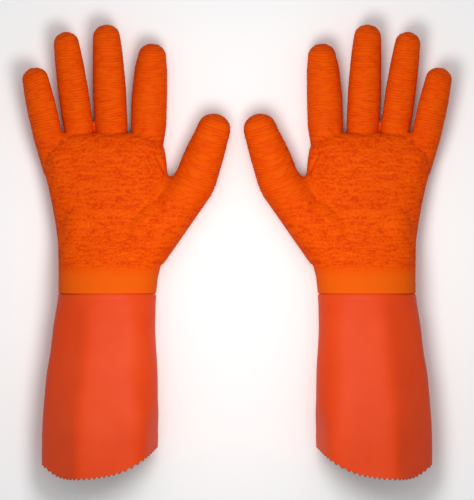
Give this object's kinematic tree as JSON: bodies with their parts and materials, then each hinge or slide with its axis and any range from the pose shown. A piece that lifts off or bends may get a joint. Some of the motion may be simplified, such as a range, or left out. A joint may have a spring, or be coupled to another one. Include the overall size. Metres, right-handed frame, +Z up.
{
  "type": "insulated gauntlet gloves",
  "caption": "Pair of long insulated gloves with a crinkled rubber hand, flexing finger stalls, and a smooth flared gauntlet with a pinked hem.",
  "frame": {"origin": "middle of the pair's footprint, on the table it lies on", "axes": "+Y from the hems to the fingertips, +Z up out of the palms, +X towards the left-hand glove"},
  "size_m": [0.3036, 0.32, 0.0662],
  "materials": {
    "crinkle_coat": "matte crinkled latex",
    "smooth_sleeve": "smooth satin dipped coating",
    "insulating_knit": "thick looped knit",
    "sleeve_lining": "plain jersey knit"
  },
  "bodies": {
    "right_palm": {"right_palm_coat": "crinkle_coat", "right_palm_liner": "insulating_knit"},
    "right_sleeve": {"right_sleeve": "smooth_sleeve", "right_sleeve_lining": "sleeve_lining"},
    "right_thumb_lower": {"right_thumb_lower_coat": "crinkle_coat", "right_thumb_lower_liner": "insulating_knit"},
    "right_thumb_tip": {"right_thumb_tip_coat": "crinkle_coat", "right_thumb_tip_liner": "insulating_knit"},
    "right_index_lower": {"right_index_lower_coat": "crinkle_coat", "right_index_lower_liner": "insulating_knit"},
    "right_index_middle": {"right_index_middle_coat": "crinkle_coat", "right_index_middle_liner": "insulating_knit"},
    "right_index_tip": {"right_index_tip_coat": "crinkle_coat", "right_index_tip_liner": "insulating_knit"},
    "right_middle_lower": {"right_middle_lower_coat": "crinkle_coat", "right_middle_lower_liner": "insulating_knit"},
    "right_middle_middle": {"right_middle_middle_coat": "crinkle_coat", "right_middle_middle_liner": "insulating_knit"},
    "right_middle_tip": {"right_middle_tip_coat": "crinkle_coat", "right_middle_tip_liner": "insulating_knit"},
    "right_ring_lower": {"right_ring_lower_coat": "crinkle_coat", "right_ring_lower_liner": "insulating_knit"},
    "right_ring_middle": {"right_ring_middle_coat": "crinkle_coat", "right_ring_middle_liner": "insulating_knit"},
    "right_ring_tip": {"right_ring_tip_coat": "crinkle_coat", "right_ring_tip_liner": "insulating_knit"},
    "right_little_lower": {"right_little_lower_coat": "crinkle_coat", "right_little_lower_liner": "insulating_knit"},
    "right_little_tip": {"right_little_tip_coat": "crinkle_coat", "right_little_tip_liner": "insulating_knit"},
    "left_palm": {"left_palm_coat": "crinkle_coat", "left_palm_liner": "insulating_knit"},
    "left_sleeve": {"left_sleeve": "smooth_sleeve", "left_sleeve_lining": "sleeve_lining"},
    "left_thumb_lower": {"left_thumb_lower_coat": "crinkle_coat", "left_thumb_lower_liner": "insulating_knit"},
    "left_thumb_tip": {"left_thumb_tip_coat": "crinkle_coat", "left_thumb_tip_liner": "insulating_knit"},
    "left_index_lower": {"left_index_lower_coat": "crinkle_coat", "left_index_lower_liner": "insulating_knit"},
    "left_index_middle": {"left_index_middle_coat": "crinkle_coat", "left_index_middle_liner": "insulating_knit"},
    "left_index_tip": {"left_index_tip_coat": "crinkle_coat", "left_index_tip_liner": "insulating_knit"},
    "left_middle_lower": {"left_middle_lower_coat": "crinkle_coat", "left_middle_lower_liner": "insulating_knit"},
    "left_middle_middle": {"left_middle_middle_coat": "crinkle_coat", "left_middle_middle_liner": "insulating_knit"},
    "left_middle_tip": {"left_middle_tip_coat": "crinkle_coat", "left_middle_tip_liner": "insulating_knit"},
    "left_ring_lower": {"left_ring_lower_coat": "crinkle_coat", "left_ring_lower_liner": "insulating_knit"},
    "left_ring_middle": {"left_ring_middle_coat": "crinkle_coat", "left_ring_middle_liner": "insulating_knit"},
    "left_ring_tip": {"left_ring_tip_coat": "crinkle_coat", "left_ring_tip_liner": "insulating_knit"},
    "left_little_lower": {"left_little_lower_coat": "crinkle_coat", "left_little_lower_liner": "insulating_knit"},
    "left_little_tip": {"left_little_tip_coat": "crinkle_coat", "left_little_tip_liner": "insulating_knit"}
  },
  "joints": [
    {"name": "right_wrist", "type": "hinge", "parent": "right_palm", "child": "right_sleeve", "pos_m": [-0.09181, -0.02999, 0.026], "axis": [-1, 0, 0], "range_deg": [-30, 30], "stiffness_Nm_per_rad": 0.15},
    {"name": "right_thumb_lower_bend", "type": "hinge", "parent": "right_palm", "child": "right_thumb_lower", "pos_m": [-0.03202, 0.04895, 0.02351], "axis": [0.7768, -0.388, 0.4961], "range_deg": [0, 30], "stiffness_Nm_per_rad": 0.04},
    {"name": "right_thumb_tip_bend", "type": "hinge", "parent": "right_thumb_lower", "child": "right_thumb_tip", "pos_m": [-0.02359, 0.06842, 0.02575], "axis": [0.8166, -0.3033, 0.4911], "range_deg": [0, 45], "stiffness_Nm_per_rad": 0.03},
    {"name": "right_index_lower_bend", "type": "hinge", "parent": "right_palm", "child": "right_index_lower", "pos_m": [-0.0627, 0.08651, 0.01634], "axis": [0.9998, -0.0182, 0], "range_deg": [0, 70], "stiffness_Nm_per_rad": 0.04},
    {"name": "right_index_middle_bend", "type": "hinge", "parent": "right_index_lower", "child": "right_index_middle", "pos_m": [-0.06168, 0.10895, 0.01737], "axis": [0.9998, -0.0182, 0], "range_deg": [0, 80], "stiffness_Nm_per_rad": 0.03},
    {"name": "right_index_tip_bend", "type": "hinge", "parent": "right_index_middle", "child": "right_index_tip", "pos_m": [-0.06078, 0.12878, 0.01951], "axis": [0.9998, -0.0182, 0], "range_deg": [0, 48], "stiffness_Nm_per_rad": 0.03},
    {"name": "right_middle_lower_bend", "type": "hinge", "parent": "right_palm", "child": "right_middle_lower", "pos_m": [-0.08972, 0.08651, 0.01595], "axis": [0.9999, 0.0168, 0], "range_deg": [0, 70], "stiffness_Nm_per_rad": 0.04},
    {"name": "right_middle_middle_bend", "type": "hinge", "parent": "right_middle_lower", "child": "right_middle_middle", "pos_m": [-0.09087, 0.11395, 0.01754], "axis": [0.9999, 0.0168, 0], "range_deg": [0, 80], "stiffness_Nm_per_rad": 0.03},
    {"name": "right_middle_tip_bend", "type": "hinge", "parent": "right_middle_middle", "child": "right_middle_tip", "pos_m": [-0.09182, 0.13675, 0.02004], "axis": [0.9999, 0.0168, 0], "range_deg": [0, 48], "stiffness_Nm_per_rad": 0.03},
    {"name": "right_ring_lower_bend", "type": "hinge", "parent": "right_palm", "child": "right_ring_lower", "pos_m": [-0.11246, 0.08649, 0.01725], "axis": [0.9965, 0.0837, 0], "range_deg": [0, 70], "stiffness_Nm_per_rad": 0.04},
    {"name": "right_ring_middle_bend", "type": "hinge", "parent": "right_ring_lower", "child": "right_ring_middle", "pos_m": [-0.116, 0.1117, 0.01879], "axis": [0.9965, 0.0837, 0], "range_deg": [0, 80], "stiffness_Nm_per_rad": 0.03},
    {"name": "right_ring_tip_bend", "type": "hinge", "parent": "right_ring_middle", "child": "right_ring_tip", "pos_m": [-0.11904, 0.13333, 0.02121], "axis": [0.9965, 0.0837, 0], "range_deg": [0, 48], "stiffness_Nm_per_rad": 0.03},
    {"name": "right_little_lower_bend", "type": "hinge", "parent": "right_palm", "child": "right_little_lower", "pos_m": [-0.13355, 0.08085, 0.02152], "axis": [0.9962, 0.0872, 0], "range_deg": [0, 70], "stiffness_Nm_per_rad": 0.04},
    {"name": "right_little_tip_bend", "type": "hinge", "parent": "right_little_lower", "child": "right_little_tip", "pos_m": [-0.13863, 0.10376, 0.0229], "axis": [0.9962, 0.0872, 0], "range_deg": [0, 80], "stiffness_Nm_per_rad": 0.03},
    {"name": "gloves_apart", "type": "slide", "parent": "right_palm", "child": "left_palm", "axis": [1, 0, 0], "range_m": [0, 0.12]},
    {"name": "left_wrist", "type": "hinge", "parent": "left_palm", "child": "left_sleeve", "pos_m": [0.09181, -0.02999, 0.026], "axis": [-1, 0, 0], "range_deg": [-30, 30], "stiffness_Nm_per_rad": 0.15},
    {"name": "left_thumb_lower_bend", "type": "hinge", "parent": "left_palm", "child": "left_thumb_lower", "pos_m": [0.03202, 0.04895, 0.02351], "axis": [0.7768, 0.388, -0.4961], "range_deg": [0, 30], "stiffness_Nm_per_rad": 0.04},
    {"name": "left_thumb_tip_bend", "type": "hinge", "parent": "left_thumb_lower", "child": "left_thumb_tip", "pos_m": [0.02359, 0.06842, 0.02575], "axis": [0.8166, 0.3033, -0.4911], "range_deg": [0, 45], "stiffness_Nm_per_rad": 0.03},
    {"name": "left_index_lower_bend", "type": "hinge", "parent": "left_palm", "child": "left_index_lower", "pos_m": [0.0627, 0.08651, 0.01634], "axis": [0.9998, 0.0182, 0], "range_deg": [0, 70], "stiffness_Nm_per_rad": 0.04},
    {"name": "left_index_middle_bend", "type": "hinge", "parent": "left_index_lower", "child": "left_index_middle", "pos_m": [0.06168, 0.10895, 0.01737], "axis": [0.9998, 0.0182, 0], "range_deg": [0, 80], "stiffness_Nm_per_rad": 0.03},
    {"name": "left_index_tip_bend", "type": "hinge", "parent": "left_index_middle", "child": "left_index_tip", "pos_m": [0.06078, 0.12878, 0.01951], "axis": [0.9998, 0.0182, 0], "range_deg": [0, 48], "stiffness_Nm_per_rad": 0.03},
    {"name": "left_middle_lower_bend", "type": "hinge", "parent": "left_palm", "child": "left_middle_lower", "pos_m": [0.08972, 0.08651, 0.01595], "axis": [0.9999, -0.0168, 0], "range_deg": [0, 70], "stiffness_Nm_per_rad": 0.04},
    {"name": "left_middle_middle_bend", "type": "hinge", "parent": "left_middle_lower", "child": "left_middle_middle", "pos_m": [0.09087, 0.11395, 0.01754], "axis": [0.9999, -0.0168, 0], "range_deg": [0, 80], "stiffness_Nm_per_rad": 0.03},
    {"name": "left_middle_tip_bend", "type": "hinge", "parent": "left_middle_middle", "child": "left_middle_tip", "pos_m": [0.09182, 0.13675, 0.02004], "axis": [0.9999, -0.0168, 0], "range_deg": [0, 48], "stiffness_Nm_per_rad": 0.03},
    {"name": "left_ring_lower_bend", "type": "hinge", "parent": "left_palm", "child": "left_ring_lower", "pos_m": [0.11246, 0.08649, 0.01725], "axis": [0.9965, -0.0837, 0], "range_deg": [0, 70], "stiffness_Nm_per_rad": 0.04},
    {"name": "left_ring_middle_bend", "type": "hinge", "parent": "left_ring_lower", "child": "left_ring_middle", "pos_m": [0.116, 0.1117, 0.01879], "axis": [0.9965, -0.0837, 0], "range_deg": [0, 80], "stiffness_Nm_per_rad": 0.03},
    {"name": "left_ring_tip_bend", "type": "hinge", "parent": "left_ring_middle", "child": "left_ring_tip", "pos_m": [0.11904, 0.13333, 0.02121], "axis": [0.9965, -0.0837, 0], "range_deg": [0, 48], "stiffness_Nm_per_rad": 0.03},
    {"name": "left_little_lower_bend", "type": "hinge", "parent": "left_palm", "child": "left_little_lower", "pos_m": [0.13355, 0.08085, 0.02152], "axis": [0.9962, -0.0872, 0], "range_deg": [0, 70], "stiffness_Nm_per_rad": 0.04},
    {"name": "left_little_tip_bend", "type": "hinge", "parent": "left_little_lower", "child": "left_little_tip", "pos_m": [0.13863, 0.10376, 0.0229], "axis": [0.9962, -0.0872, 0], "range_deg": [0, 80], "stiffness_Nm_per_rad": 0.03}
  ],
  "couplings": [
    {"joint": "right_index_tip_bend", "follows": "right_index_middle_bend", "ratio": 0.6},
    {"joint": "right_middle_tip_bend", "follows": "right_middle_middle_bend", "ratio": 0.6},
    {"joint": "right_ring_tip_bend", "follows": "right_ring_middle_bend", "ratio": 0.6},
    {"joint": "left_index_tip_bend", "follows": "left_index_middle_bend", "ratio": 0.6},
    {"joint": "left_middle_tip_bend", "follows": "left_middle_middle_bend", "ratio": 0.6},
    {"joint": "left_ring_tip_bend", "follows": "left_ring_middle_bend", "ratio": 0.6}
  ]
}
